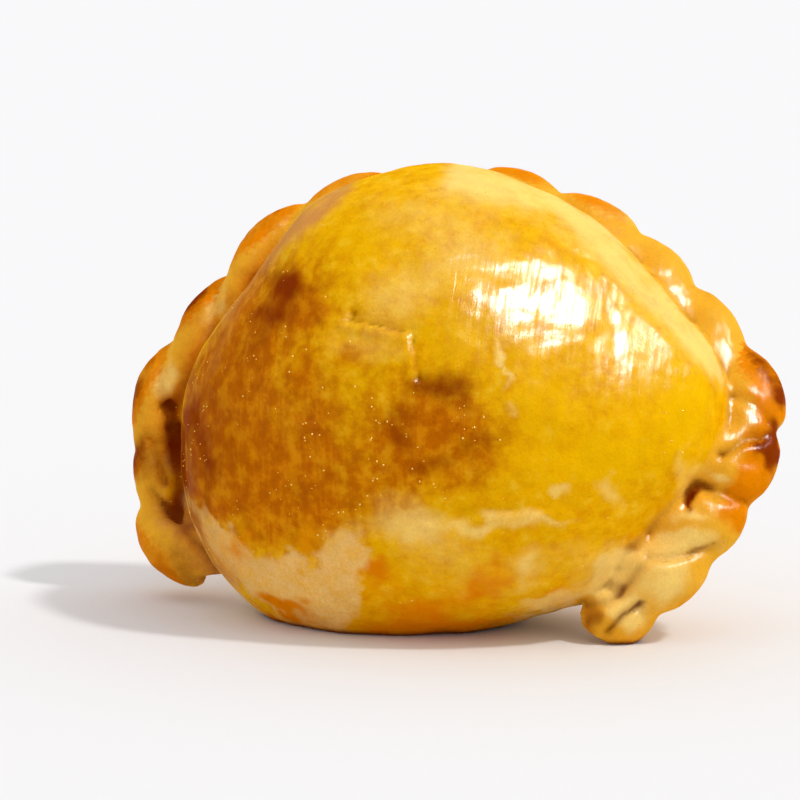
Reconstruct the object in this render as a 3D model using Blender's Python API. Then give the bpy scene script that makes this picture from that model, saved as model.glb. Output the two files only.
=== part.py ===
"""A baked chicken empanada that stands on its fold, as one solid.

A disc of dough is folded over a heaped filling, so the closed pocket is a plump half-moon. The fold is
underneath and carries it. The cut edge is rolled into a rope of overlapping pleats, which starts at the
left tail, arches up behind the domed belly and comes forward to the right tail.

Frame: +X runs along the fold towards the right tail, -Y is the glazed belly side, +Z is up, and the sole of
the fold lies in the plane Z = 0, under the middle of the box. Lengths are in metres, written as millimetres
times MM. The shape is laid out from a point near its middle, and centred over the origin at the end.
"""

import math

import bmesh
import bpy
import numpy as np
from mathutils import Matrix, Vector, noise

MM = 0.001

# The pocket: a pillow around a centre, wide and tall in X and Z, and much thinner in Y.
CENTRE_X = 2.0 * MM
CENTRE_Z = 34.0 * MM
WIDEST_Y = 1.0 * MM
BELLY_DEPTH = 29.0 * MM
BACK_DEPTH = 24.0 * MM
FULLNESS = 0.90
# Distance from the centre to the pocket's outline every 30 degrees, from +X over the top and round below.
OUTLINE_RADII = [r * MM for r in (45.0, 38.9, 38.0, 39.1, 40.1, 38.8, 44.3, 47.6, 43.8, 36.2, 34.8, 36.8)]
# The lower right corner of the pocket, where the fold ends, stands out a little.
CORNER_ANGLE = math.radians(316)
CORNER_BULGE = 4.2 * MM
CORNER_HALF_WIDTH = math.radians(15)
# Towards the belly's pole the outline evens out to this radius.
EVEN_RADIUS = 39.5 * MM
# The back lay on the tray while it baked, so it is pressed nearly flat there.
TRAY_Y = 22.0 * MM
TRAY_SOFTNESS = 5.0 * MM
# Lumps of filling under the crust.
LUMP_HEIGHT = 0.9 * MM
LUMP_SIZE = 17.0 * MM
# A shallow hollow low on the belly, where the filling ends above the fold.
HOLLOW_DEPTH = 1.2 * MM
HOLLOW_X = 4.0 * MM
HOLLOW_Z = 15.5 * MM
HOLLOW_HALF_LENGTH = 17.0 * MM
HOLLOW_HALF_WIDTH = 4.5 * MM

# The middle of the rope edge, from the left tail over the top to the right tail: x, y, z in millimetres.
ROPE_PATH_MM = (
    (-35.0, 5.0, 7.5),
    (-44.8, 8.5, 9.4),
    (-50.8, 12.0, 16.0),
    (-48.8, 13.5, 25.2),
    (-48.2, 14.5, 34.5),
    (-39.6, 16.0, 45.6),
    (-31.3, 17.5, 56.0),
    (-19.3, 18.5, 63.5),
    (-4.5, 19.0, 66.3),
    (10.5, 19.0, 64.6),
    (23.0, 17.0, 59.4),
    (33.3, 14.0, 51.9),
    (42.3, 10.0, 43.6),
    (47.9, 5.0, 34.9),
    (45.9, 0.0, 27.2),
    (41.0, -3.4, 19.4),
    (36.4, -5.9, 12.8),
    (30.0, -8.0, 4.4),
)
# The web of pinched dough between the pocket and the rope.
WEB_REACH = 15.0 * MM
WEB_THIN = 3.0 * MM
WEB_THICK = 8.0 * MM
WEB_INTO_ROPE = 2.6 * MM
WEB_TAIL_SHARE = 0.45
WEB_TAIL_LENGTH = 25.0 * MM

# The pleats: place along the rope from the left tail, half length, plumpness, reach across the rope, flare
# away from the pocket in degrees, and how far the front leans away from the top. Lengths are in millimetres.
PLEATS = (
    (12.0, 8.9, 1.15, 1.00, 8.0, 8.0),
    (27.3, 6.8, 0.95, 1.00, 10.0, 8.0),
    (38.0, 8.2, 1.05, 1.00, 14.0, 13.0),
    (52.4, 8.2, 1.10, 1.00, 4.0, 15.0),
    (67.4, 8.4, 1.10, 1.00, 1.0, 15.0),
    (81.8, 8.0, 0.95, 1.00, 0.0, 12.0),
    (95.3, 7.8, 0.90, 1.00, 0.0, 8.0),
    (108.3, 7.8, 0.95, 1.00, 4.0, 10.0),
    (121.8, 8.0, 1.00, 1.00, 8.0, 14.0),
    (134.2, 7.8, 1.00, 1.00, 8.0, 15.0),
    (146.7, 7.8, 1.00, 1.00, 8.0, 15.0),
    (160.0, 8.4, 1.05, 1.10, 10.0, 9.0),
    (171.0, 7.4, 1.00, 1.35, 10.0, 2.0),
    (181.0, 7.2, 0.95, 1.50, 10.0, 5.0),
    (190.6, 7.4, 1.00, 1.40, 8.0, 4.0),
    (200.0, 6.2, 0.85, 1.20, 6.0, 3.0),
)
PLEAT_ROLL = 3.0 * MM
PLEAT_THICKNESS = 3.3 * MM
PLEAT_INNER = 2.4 * MM
PLEAT_ROUNDNESS = 1.35
PLEAT_STRAIGHT_TURN = math.radians(30)
PLEAT_HOOK = 1.5
PLEAT_FRONT_TURN = math.radians(140)
PLEAT_BACK_TURN = math.radians(120)
PLEAT_TIP = 0.42
PLEAT_RINGS = 13
PLEAT_SIDES = 12

POCKET_STEPS_AROUND = 66
POCKET_STEPS_DEEP = 38
WEB_STEPS = 56
WEB_SIDES = 10

CRUST_COLOUR = (0.80, 0.47, 0.12, 1.0)
CRUST_ROUGHNESS = 0.38


def clear_scene():
    for obj in list(bpy.data.objects):
        bpy.data.objects.remove(obj, do_unlink=True)


def crust_material():
    material = bpy.data.materials.new("glazed_crust")
    material.use_nodes = True
    shader = material.node_tree.nodes["Principled BSDF"]
    shader.inputs["Base Color"].default_value = CRUST_COLOUR
    shader.inputs["Roughness"].default_value = CRUST_ROUGHNESS
    shader.inputs["Metallic"].default_value = 0.0
    return material


def catmull_rom(before, start, end, after, t):
    """The point at share t between start and end, on the smooth curve through all four."""
    return 0.5 * (
        2 * start
        + (end - before) * t
        + (2 * before - 5 * start + 4 * end - after) * t * t
        + (3 * start - before - 3 * end + after) * t * t * t
    )


def outline_radius(angle):
    """The pocket's radius at an angle in the XZ plane, smooth and closed through the stated radii."""
    place = (angle / (2 * math.pi)) % 1.0 * len(OUTLINE_RADII)
    first = int(place)
    around = [OUTLINE_RADII[(first + k) % len(OUTLINE_RADII)] for k in (-1, 0, 1, 2)]
    off_corner = (angle % (2 * math.pi) - CORNER_ANGLE) / CORNER_HALF_WIDTH
    return catmull_rom(*around, place - first) + CORNER_BULGE * math.exp(-off_corner * off_corner)


def pressed_flat(value, limit, softness):
    """The value, held below a limit with a soft knee."""
    if value < limit - softness:
        return value
    over = value - (limit - softness)
    return limit - softness + softness * (1 - math.exp(-over / softness))


def pocket_point(angle, turn):
    """A point of the pocket's skin: angle goes round the outline, turn from the belly's pole to the back's."""
    reach = max(math.sin(turn), 0.0)
    radius = (EVEN_RADIUS + (outline_radius(angle) - EVEN_RADIUS) * reach * reach) * reach**FULLNESS
    depth = BELLY_DEPTH if turn < math.pi / 2 else BACK_DEPTH
    y = -math.copysign(abs(math.cos(turn)) ** FULLNESS, math.cos(turn)) * depth + WIDEST_Y
    point = Vector((CENTRE_X + radius * math.cos(angle), y, CENTRE_Z + radius * math.sin(angle)))
    outward = (point - Vector((CENTRE_X, WIDEST_Y, CENTRE_Z))).normalized()
    point += outward * LUMP_HEIGHT * noise.noise(point / LUMP_SIZE)
    sideways = (point.x - HOLLOW_X) / HOLLOW_HALF_LENGTH
    across = (point.z - HOLLOW_Z) / HOLLOW_HALF_WIDTH
    point.y += HOLLOW_DEPTH * math.exp(-sideways**2 - across**2) * max(-outward.y, 0.0)
    point.y = pressed_flat(point.y, TRAY_Y, TRAY_SOFTNESS)
    return point


def ring_mesh(name, rings, first_pole, last_pole):
    """A closed skin through rings of equally many points, with one point over each end."""
    mesh = bmesh.new()
    rows = [[mesh.verts.new(p) for p in ring] for ring in rings]
    sides = len(rows[0])
    for row, following in zip(rows, rows[1:]):
        for k in range(sides):
            n = (k + 1) % sides
            mesh.faces.new((row[k], row[n], following[n], following[k]))
    for row, pole in ((rows[0], first_pole), (rows[-1], last_pole)):
        tip = mesh.verts.new(pole)
        for k in range(sides):
            mesh.faces.new((row[k], row[(k + 1) % sides], tip))
    bmesh.ops.recalc_face_normals(mesh, faces=mesh.faces)
    data = bpy.data.meshes.new(name)
    mesh.to_mesh(data)
    mesh.free()
    obj = bpy.data.objects.new(name, data)
    bpy.context.scene.collection.objects.link(obj)
    return obj


def make_pocket():
    rings = []
    for i in range(1, POCKET_STEPS_DEEP):
        turn = math.pi * i / POCKET_STEPS_DEEP
        angles = (2 * math.pi * k / POCKET_STEPS_AROUND for k in range(POCKET_STEPS_AROUND))
        rings.append([pocket_point(angle, turn) for angle in angles])
    return ring_mesh("empanada", rings, pocket_point(0.0, 0.0), pocket_point(0.0, math.pi))


class RopePath:
    """The rope's middle line, read by distance from the left tail, with the directions around it."""

    SAMPLES_EACH = 24

    def __init__(self):
        marks = [Vector(p) * MM for p in ROPE_PATH_MM]
        marks = [2 * marks[0] - marks[1], *marks, 2 * marks[-1] - marks[-2]]
        self.points = []
        for i in range(1, len(marks) - 2):
            for k in range(self.SAMPLES_EACH):
                around = marks[i - 1 : i + 3]
                self.points.append(catmull_rom(*around, k / self.SAMPLES_EACH))
        self.points.append(marks[-2])
        steps = [(b - a).length for a, b in zip(self.points, self.points[1:])]
        self.distances = np.concatenate([[0.0], np.cumsum(steps)])
        self.length = float(self.distances[-1])

    def point(self, distance):
        """The point at a distance along the rope, carried on straight beyond either tail."""
        inside = min(max(distance, 0.0), self.length)
        xyz = [np.interp(inside, self.distances, [p[k] for p in self.points]) for k in range(3)]
        overshoot = distance - inside
        return Vector(xyz) + self.along(inside) * overshoot if overshoot else Vector(xyz)

    def along(self, distance):
        reach = 1.5 * MM
        low = max(distance - reach, 0.0)
        high = min(distance + reach, self.length)
        return (self.point(high) - self.point(low)).normalized()

    def frame(self, distance):
        """(point, along, outward, forward): outward leaves the pocket, and forward faces the belly's side."""
        point = self.point(distance)
        along = self.along(min(max(distance, 0.0), self.length))
        outward = point - Vector((CENTRE_X, 6.0 * MM, CENTRE_Z))
        outward = (outward - along * outward.dot(along)).normalized()
        forward = along.cross(outward).normalized()
        return point, along, outward, forward if forward.y < 0 else -forward


def make_web(path):
    """The pinched dough: thin at the rope, and thicker where it runs into the pocket."""
    rings = []
    for i in range(WEB_STEPS + 1):
        distance = path.length * i / WEB_STEPS
        point, _, outward, forward = path.frame(distance)
        from_tail = min(distance, path.length - distance) / WEB_TAIL_LENGTH
        reach = WEB_REACH * min(1.0, WEB_TAIL_SHARE + (1 - WEB_TAIL_SHARE) * from_tail)
        ring = []
        for k in range(WEB_SIDES):
            a = 2 * math.pi * k / WEB_SIDES
            inward = (reach + WEB_INTO_ROPE) * (1 - math.cos(a)) / 2 - WEB_INTO_ROPE
            half = WEB_THIN + (WEB_THICK - WEB_THIN) * max(inward, 0.0) / WEB_REACH
            ring.append(point - outward * inward + forward * half * math.sin(a))
        rings.append(ring)
    poles = [sum(ring, Vector()) / WEB_SIDES for ring in (rings[0], rings[-1])]
    return ring_mesh("web", rings, *poles)


def lean_share(turn):
    """How much of its lean a pleat has at a turn: none over the edge, and all of it at the front's end."""
    past_straight = max(abs(turn) - PLEAT_STRAIGHT_TURN, 0.0) / (PLEAT_FRONT_TURN - PLEAT_STRAIGHT_TURN)
    return math.copysign(past_straight**PLEAT_HOOK, turn)


def make_pleat(path, index, place_mm, half_length_mm, plumpness, reach, flare, lean_mm):
    """One pleat: a tongue of dough that rolls from the back over the rope's edge and down onto the front."""
    point, along, outward, forward = path.frame(place_mm * MM)
    away_from_top = along if place_mm * MM > path.length / 2 else -along
    tilt = math.radians(flare)
    lengthways = away_from_top * math.cos(tilt) + outward * math.sin(tilt)
    radial = outward * math.cos(tilt) - away_from_top * math.sin(tilt)
    rings = []
    middles = []
    for i in range(PLEAT_RINGS + 1):
        share = i / PLEAT_RINGS
        turn = -PLEAT_BACK_TURN + (PLEAT_BACK_TURN + PLEAT_FRONT_TURN) * share
        rise = radial * reach * math.cos(turn) + forward * math.sin(turn)
        middle = point + rise * PLEAT_ROLL * plumpness + lengthways * lean_mm * MM * lean_share(turn)
        swell = PLEAT_TIP + (1 - PLEAT_TIP) * math.sin(math.pi * share) ** 0.7
        ring = []
        for k in range(PLEAT_SIDES):
            a = 2 * math.pi * k / PLEAT_SIDES
            wide = lengthways * half_length_mm * MM * swell * math.cos(a)
            layer = PLEAT_THICKNESS if math.sin(a) > 0 else -PLEAT_INNER
            thick = layer * plumpness * (0.5 + 0.5 * swell) * abs(math.sin(a)) ** PLEAT_ROUNDNESS
            ring.append(middle + wide + rise * thick)
        rings.append(ring)
        middles.append(middle)
    first_tip = middles[0] + (middles[0] - middles[1]) * 0.4
    last_tip = middles[-1] + (middles[-1] - middles[-2]) * 0.4
    return ring_mesh(f"pleat_{index:02d}", rings, first_tip, last_tip)


def apply_boolean(obj, operation, solver, **operand):
    modifier = obj.modifiers.new(operation.lower(), "BOOLEAN")
    modifier.operation = operation
    modifier.solver = solver
    for name, value in operand.items():
        setattr(modifier, name, value)
    graph = bpy.context.evaluated_depsgraph_get()
    joined = bpy.data.meshes.new_from_object(obj.evaluated_get(graph))
    obj.modifiers.clear()
    obj.data = joined


def fuse(obj, pieces):
    """One Boolean union of the pocket with everything in a collection, which is then removed.

    The solver is MANIFOLD, because EXACT leaves tiny inverted scraps where the pleats overlap.
    """
    group = bpy.data.collections.new("fused")
    bpy.context.scene.collection.children.link(group)
    for piece in pieces:
        bpy.context.scene.collection.objects.unlink(piece)
        group.objects.link(piece)
    apply_boolean(obj, "UNION", "MANIFOLD", operand_type="COLLECTION", collection=group)
    for piece in pieces:
        bpy.data.objects.remove(piece, do_unlink=True)
    bpy.data.collections.remove(group)


def cut_sole(obj):
    """Cuts the underside flat at Z = 0, where the empanada stands."""
    depth = 30.0 * MM
    mesh = bpy.data.meshes.new("floor_block")
    block = bmesh.new()
    bmesh.ops.create_cube(block, size=1.0)
    for vert in block.verts:
        vert.co = Vector((vert.co.x * 0.2, vert.co.y * 0.2, vert.co.z * depth - depth / 2))
    block.to_mesh(mesh)
    block.free()
    cutter = bpy.data.objects.new("floor_block", mesh)
    bpy.context.scene.collection.objects.link(cutter)
    apply_boolean(obj, "DIFFERENCE", "MANIFOLD", object=cutter)
    bpy.data.objects.remove(cutter, do_unlink=True)


def keep_outer_skin(obj):
    """Drops sealed hollows and loose scraps, which are every island but the largest."""
    mesh = bmesh.new()
    mesh.from_mesh(obj.data)
    left = set(mesh.verts)
    islands = []
    while left:
        island = set()
        edge_of_search = [left.pop()]
        while edge_of_search:
            vert = edge_of_search.pop()
            island.add(vert)
            for edge in vert.link_edges:
                other = edge.other_vert(vert)
                if other in left:
                    left.remove(other)
                    edge_of_search.append(other)
        islands.append(island)
    islands.sort(key=len)
    for island in islands[:-1]:
        bmesh.ops.delete(mesh, geom=list(island), context="VERTS")
    mesh.to_mesh(obj.data)
    mesh.free()


def centre_over_origin(obj):
    """Moves the mesh, so that the middle of its box's underside is the origin."""
    lows = [min(v.co[k] for v in obj.data.vertices) for k in range(3)]
    highs = [max(v.co[k] for v in obj.data.vertices) for k in range(3)]
    obj.data.transform(Matrix.Translation((-(lows[0] + highs[0]) / 2, -(lows[1] + highs[1]) / 2, -lows[2])))


def main():
    clear_scene()
    path = RopePath()
    empanada = make_pocket()
    pieces = [make_web(path)]
    for index, sizes in enumerate(PLEATS):
        pieces.append(make_pleat(path, index, *sizes))
    fuse(empanada, pieces)
    cut_sole(empanada)
    keep_outer_skin(empanada)
    centre_over_origin(empanada)
    empanada.data.materials.clear()
    empanada.data.materials.append(crust_material())
    empanada.data.shade_smooth()
    empanada.data.set_sharp_from_angle(angle=math.radians(50))


main()
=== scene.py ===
# %% [markdown]
# # A baked chicken empanada, standing on its fold
#
# An empanada is a disc of wheat dough, folded over a heaped filling. The closed pocket is a plump half-moon,
# and the cut edge is rolled into a rope of pleats that keeps the juices in. This one stands on its fold, with
# its egg-washed belly towards us. The lesson builds the crust as one skin, paints where the wash, the
# browning and the bare dough are, and lights it like a small studio photograph.
#
# We load the measured model first. It is the fixed frame that every piece has to fit.

import math

import bmesh
import bpy
import numpy as np
from mathutils import Matrix, Vector, noise
from mathutils.kdtree import KDTree


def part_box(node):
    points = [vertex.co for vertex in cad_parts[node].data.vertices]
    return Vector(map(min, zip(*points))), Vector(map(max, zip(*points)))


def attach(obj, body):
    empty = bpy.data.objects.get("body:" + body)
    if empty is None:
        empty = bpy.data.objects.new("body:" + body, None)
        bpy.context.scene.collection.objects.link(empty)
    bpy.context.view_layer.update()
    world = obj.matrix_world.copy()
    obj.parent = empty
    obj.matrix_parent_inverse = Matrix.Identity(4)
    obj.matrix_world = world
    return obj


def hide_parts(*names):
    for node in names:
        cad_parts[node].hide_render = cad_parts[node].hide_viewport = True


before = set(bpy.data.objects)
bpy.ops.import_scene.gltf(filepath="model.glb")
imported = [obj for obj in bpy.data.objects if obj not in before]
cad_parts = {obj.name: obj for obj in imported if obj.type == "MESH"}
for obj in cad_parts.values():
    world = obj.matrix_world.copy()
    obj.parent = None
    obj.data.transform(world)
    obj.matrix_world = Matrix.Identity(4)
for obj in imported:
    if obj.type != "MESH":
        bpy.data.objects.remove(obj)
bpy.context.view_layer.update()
crust_low, crust_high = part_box("empanada")
MM = 0.001
print("crust box in mm:", [round((b - a) / MM, 1) for a, b in zip(crust_low, crust_high)])

# %% [markdown]
# ## Where the camera stands
#
# The photograph looks a little down on the belly, from slightly to the right. A long lens from 65 cm away
# keeps the dome from bulging. We also name the three directions of that view here, because marks on the crust
# are easiest to place as they are seen: so far across and so far up, in millimetres.

# %% The camera and its directions
VIEW_TURN = math.radians(14)
VIEW_RISE = math.radians(12)
VIEW_DISTANCE = 650 * MM
VIEW_WIDTH = 129.2 * MM
AIM_ACROSS = -6.5 * MM
AIM_UP = 35.4 * MM
BOX_CENTRE_TO_MIDDLE = Vector((0.4, 1.7, 0.0)) * MM

# The middle is the point on the floor that the crust is laid out from.
middle = Vector(((crust_low.x + crust_high.x) / 2, (crust_low.y + crust_high.y) / 2, crust_low.z))
middle = middle + BOX_CENTRE_TO_MIDDLE
view_across = Vector((math.cos(VIEW_TURN), math.sin(VIEW_TURN), 0.0))
view_away = Vector((
    -math.sin(VIEW_TURN) * math.cos(VIEW_RISE),
    math.cos(VIEW_TURN) * math.cos(VIEW_RISE),
    -math.sin(VIEW_RISE),
))
view_up = view_across.cross(view_away)


def add_object(name, data):
    obj = bpy.data.objects.new(name, data)
    bpy.context.scene.collection.objects.link(obj)
    return obj


def add_camera():
    data = bpy.data.cameras.new("camera")
    data.sensor_width = 36.0
    data.lens = data.sensor_width * VIEW_DISTANCE / VIEW_WIDTH
    camera = add_object("camera", data)
    camera.location = middle - view_away * VIEW_DISTANCE
    aim = middle + view_across * AIM_ACROSS + view_up * AIM_UP
    camera.rotation_euler = (aim - camera.location).to_track_quat("-Z", "Y").to_euler()
    bpy.context.scene.camera = camera
    print("lens in mm:", round(data.lens, 1))


add_camera()

# %% [markdown]
# ## The pocket
#
# The filled pocket is a pillow. Its outline is uneven, because the filling isn't spread evenly and the fold
# sits flat on the table, so the outline is a smooth closed curve through a few radii. Rings of points between
# the belly's pole and the back's pole then give the skin. A sphere that is pulled into shape by hand would do
# as well, but a rule is easier to correct. The back lay on the tray while it baked, so it is pressed flat.

# %% Sizes of the pocket
CENTRE = Vector((2.0, 1.0, 34.0)) * MM
BELLY_DEPTH = 29.0 * MM
BACK_DEPTH = 24.0 * MM
FULLNESS = 0.90
OUTLINE_RADII = [r * MM for r in (45.0, 38.9, 38.0, 39.1, 40.1, 38.8, 44.3, 47.6, 43.8, 36.2, 34.8, 36.8)]
CORNER_ANGLE = math.radians(316)
CORNER_BULGE = 4.2 * MM
CORNER_HALF_WIDTH = math.radians(15)
EVEN_RADIUS = 39.5 * MM
TRAY_Y = 22.0 * MM
TRAY_SOFTNESS = 5.0 * MM
LUMP_HEIGHT = 0.9 * MM
LUMP_SIZE = 17.0 * MM
POCKET_STEPS_AROUND = 180
POCKET_STEPS_DEEP = 110


def catmull_rom(before, start, end, after, t):
    """The point at share t between start and end, on the smooth curve through all four."""
    return 0.5 * (
        2 * start
        + (end - before) * t
        + (2 * before - 5 * start + 4 * end - after) * t * t
        + (3 * start - before - 3 * end + after) * t * t * t
    )


def outline_radius(angle):
    place = (angle / (2 * math.pi)) % 1.0 * len(OUTLINE_RADII)
    first = int(place)
    around = [OUTLINE_RADII[(first + k) % len(OUTLINE_RADII)] for k in (-1, 0, 1, 2)]
    off_corner = (angle % (2 * math.pi) - CORNER_ANGLE) / CORNER_HALF_WIDTH
    return catmull_rom(*around, place - first) + CORNER_BULGE * math.exp(-off_corner * off_corner)


def pressed_flat(value, limit, softness):
    if value < limit - softness:
        return value
    over = value - (limit - softness)
    return limit - softness + softness * (1 - math.exp(-over / softness))


def pocket_point(angle, turn):
    """A point of the skin: angle goes round the outline, and turn from the belly's pole to the back's."""
    reach = max(math.sin(turn), 0.0)
    radius = (EVEN_RADIUS + (outline_radius(angle) - EVEN_RADIUS) * reach * reach) * reach**FULLNESS
    depth = BELLY_DEPTH if turn < math.pi / 2 else BACK_DEPTH
    y = -math.copysign(abs(math.cos(turn)) ** FULLNESS, math.cos(turn)) * depth
    point = CENTRE + Vector((radius * math.cos(angle), y, radius * math.sin(angle)))
    point += (point - CENTRE).normalized() * LUMP_HEIGHT * noise.noise(point / LUMP_SIZE)
    point.y = pressed_flat(point.y, TRAY_Y, TRAY_SOFTNESS)
    return point


def mesh_object(name, mesh):
    """Turns a bmesh into an object in the scene, with its faces pointing out."""
    bmesh.ops.recalc_face_normals(mesh, faces=mesh.faces)
    data = bpy.data.meshes.new(name)
    mesh.to_mesh(data)
    mesh.free()
    return add_object(name, data)


def store_values(obj, name, values):
    """Writes one number for each point of the object's mesh."""
    obj.data.attributes.new(name, "FLOAT", "POINT").data.foreach_set("value", values)


def stored_values(obj, name):
    values = np.empty(len(obj.data.vertices), np.float32)
    obj.data.attributes[name].data.foreach_get("value", values)
    return values


def ring_object(name, rings, first_pole, last_pole):
    """A closed skin through rings of equally many points, with one point over each end."""
    mesh = bmesh.new()
    rows = [[mesh.verts.new(p) for p in ring] for ring in rings]
    sides = len(rows[0])
    for row, following in zip(rows, rows[1:]):
        for k in range(sides):
            n = (k + 1) % sides
            mesh.faces.new((row[k], row[n], following[n], following[k]))
    for row, pole in ((rows[0], first_pole), (rows[-1], last_pole)):
        tip = mesh.verts.new(pole)
        for k in range(sides):
            mesh.faces.new((row[k], row[(k + 1) % sides], tip))
    return mesh_object(name, mesh)


def make_pocket():
    rings = []
    for i in range(1, POCKET_STEPS_DEEP):
        turn = math.pi * i / POCKET_STEPS_DEEP
        angles = (2 * math.pi * k / POCKET_STEPS_AROUND for k in range(POCKET_STEPS_AROUND))
        rings.append([pocket_point(angle, turn) for angle in angles])
    return ring_object("pocket", rings, pocket_point(0.0, 0.0), pocket_point(0.0, math.pi))


pocket = make_pocket()
print("pocket points:", len(pocket.data.vertices))

# %% [markdown]
# ## The line of the rope edge
#
# The rope starts at the left tail, climbs behind the belly, and comes forward on the right until its last
# fold touches the table. One smooth curve through a few points carries it. Reading the curve by distance lets
# us place a pleat every so many millimetres, as a thumb does.

# %% The rope's line and the web behind it
ROPE_PATH_MM = (
    (-35.0, 5.0, 7.5),
    (-44.8, 8.5, 9.4),
    (-50.8, 12.0, 16.0),
    (-48.8, 13.5, 25.2),
    (-48.2, 14.5, 34.5),
    (-39.6, 16.0, 45.6),
    (-31.3, 17.5, 56.0),
    (-19.3, 18.5, 63.5),
    (-4.5, 19.0, 66.3),
    (10.5, 19.0, 64.6),
    (23.0, 17.0, 59.4),
    (33.3, 14.0, 51.9),
    (42.3, 10.0, 43.6),
    (47.9, 5.0, 34.9),
    (45.9, 0.0, 27.2),
    (41.0, -3.4, 19.4),
    (36.4, -5.9, 12.8),
    (30.0, -8.0, 4.4),
)
WEB_REACH = 15.0 * MM
WEB_THIN = 3.0 * MM
WEB_THICK = 8.0 * MM
WEB_TAIL_SHARE = 0.45
WEB_TAIL_LENGTH = 25.0 * MM
WEB_STEPS = 160
WEB_SIDES = 24
WEB_INTO_ROPE = 2.6 * MM
ROPE_HEART_Y = 6.0 * MM


class RopePath:
    """The rope's middle line, read by distance from the left tail, with the directions around it."""

    SAMPLES_EACH = 24

    def __init__(self):
        marks = [Vector(p) * MM for p in ROPE_PATH_MM]
        marks = [2 * marks[0] - marks[1], *marks, 2 * marks[-1] - marks[-2]]
        self.points = []
        for i in range(1, len(marks) - 2):
            for k in range(self.SAMPLES_EACH):
                around = marks[i - 1 : i + 3]
                self.points.append(catmull_rom(*around, k / self.SAMPLES_EACH))
        self.points.append(marks[-2])
        steps = [(b - a).length for a, b in zip(self.points, self.points[1:])]
        self.distances = np.concatenate([[0.0], np.cumsum(steps)])
        self.length = float(self.distances[-1])

    def point(self, distance):
        inside = min(max(distance, 0.0), self.length)
        xyz = [np.interp(inside, self.distances, [p[k] for p in self.points]) for k in range(3)]
        overshoot = distance - inside
        return Vector(xyz) + self.along(inside) * overshoot if overshoot else Vector(xyz)

    def along(self, distance):
        reach = 1.5 * MM
        low = max(distance - reach, 0.0)
        high = min(distance + reach, self.length)
        return (self.point(high) - self.point(low)).normalized()

    def frame(self, distance):
        """(point, along, outward, forward): outward leaves the pocket, and forward faces the belly's side."""
        point = self.point(distance)
        along = self.along(min(max(distance, 0.0), self.length))
        outward = point - Vector((CENTRE.x, ROPE_HEART_Y, CENTRE.z))
        outward = (outward - along * outward.dot(along)).normalized()
        forward = along.cross(outward).normalized()
        return point, along, outward, forward if forward.y < 0 else -forward


def make_web(path):
    """The pinched dough: thin at the rope, and thicker where it runs into the pocket."""
    rings = []
    for i in range(WEB_STEPS + 1):
        distance = path.length * i / WEB_STEPS
        point, _, outward, forward = path.frame(distance)
        from_tail = min(distance, path.length - distance) / WEB_TAIL_LENGTH
        reach = WEB_REACH * min(1.0, WEB_TAIL_SHARE + (1 - WEB_TAIL_SHARE) * from_tail)
        ring = []
        for k in range(WEB_SIDES):
            a = 2 * math.pi * k / WEB_SIDES
            inward = (reach + WEB_INTO_ROPE) * (1 - math.cos(a)) / 2 - WEB_INTO_ROPE
            half = WEB_THIN + (WEB_THICK - WEB_THIN) * max(inward, 0.0) / WEB_REACH
            ring.append(point - outward * inward + forward * half * math.sin(a))
        rings.append(ring)
    poles = [sum(ring, Vector()) / WEB_SIDES for ring in (rings[0], rings[-1])]
    return ring_object("web", rings, *poles)


rope = RopePath()
web = make_web(rope)
print("rope length in mm:", round(rope.length / MM, 1))

# %% [markdown]
# ## One pleat
#
# Each pleat is a tongue of dough that is rolled from the back over the edge and pressed down in front. We
# model one of them: an oval that travels round the rope, wide over the edge and narrow at both ends. All
# pleats share this mesh, so it is worth making well.

# %% A pleat at its own origin
PLEAT_HALF_LENGTH = 8.0 * MM
PLEAT_ROLL = 3.0 * MM
PLEAT_OUTER = 3.3 * MM
PLEAT_ROUNDNESS = 1.35
PLEAT_INNER = 2.4 * MM
PLEAT_STRAIGHT_TURN = math.radians(30)
PLEAT_HOOK = 1.5
PLEAT_FRONT_TURN = math.radians(140)
PLEAT_BACK_TURN = math.radians(120)
PLEAT_TIP = 0.42
CROWN_TURN = math.radians(30)
CROWN_HALF_TURN = math.radians(42)
PLEAT_RINGS = 30
PLEAT_SIDES = 28


def make_pleat():
    """X runs along the rope, Y leaves the pocket and Z faces forward.

    Each point also stores how far the tongue has turned there, and how near it is to the outer crown.
    """
    rings, turned, crown, middles = [], [], [], []
    for i in range(PLEAT_RINGS + 1):
        share = i / PLEAT_RINGS
        turn = -PLEAT_BACK_TURN + (PLEAT_BACK_TURN + PLEAT_FRONT_TURN) * share
        rise = Vector((0.0, math.cos(turn), math.sin(turn)))
        swell = PLEAT_TIP + (1 - PLEAT_TIP) * math.sin(math.pi * share) ** 0.7
        past_straight = max(abs(turn) - PLEAT_STRAIGHT_TURN, 0.0) / (PLEAT_FRONT_TURN - PLEAT_STRAIGHT_TURN)
        at_crown = math.exp(-(((turn - CROWN_TURN) / CROWN_HALF_TURN) ** 2))
        ring = []
        for k in range(PLEAT_SIDES):
            a = 2 * math.pi * k / PLEAT_SIDES
            layer = PLEAT_OUTER if math.sin(a) > 0 else -PLEAT_INNER
            raised = layer * (0.5 + 0.5 * swell) * abs(math.sin(a)) ** PLEAT_ROUNDNESS
            wide = Vector((PLEAT_HALF_LENGTH * swell * math.cos(a), 0.0, 0.0))
            ring.append(rise * (PLEAT_ROLL + raised) + wide)
            turned.append(math.copysign(past_straight**PLEAT_HOOK, turn))
            crown.append(at_crown * max(math.sin(a), 0.0))
        rings.append(ring)
        middles.append(rise * PLEAT_ROLL)
    first_tip = middles[0] + (middles[0] - middles[1]) * 0.4
    last_tip = middles[-1] + (middles[-1] - middles[-2]) * 0.4
    obj = ring_object("pleat", rings, first_tip, last_tip)
    for name, values in (("turned", turned), ("crown", crown)):
        store_values(obj, name, [*values, values[0], values[-1]])
    return obj


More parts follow.
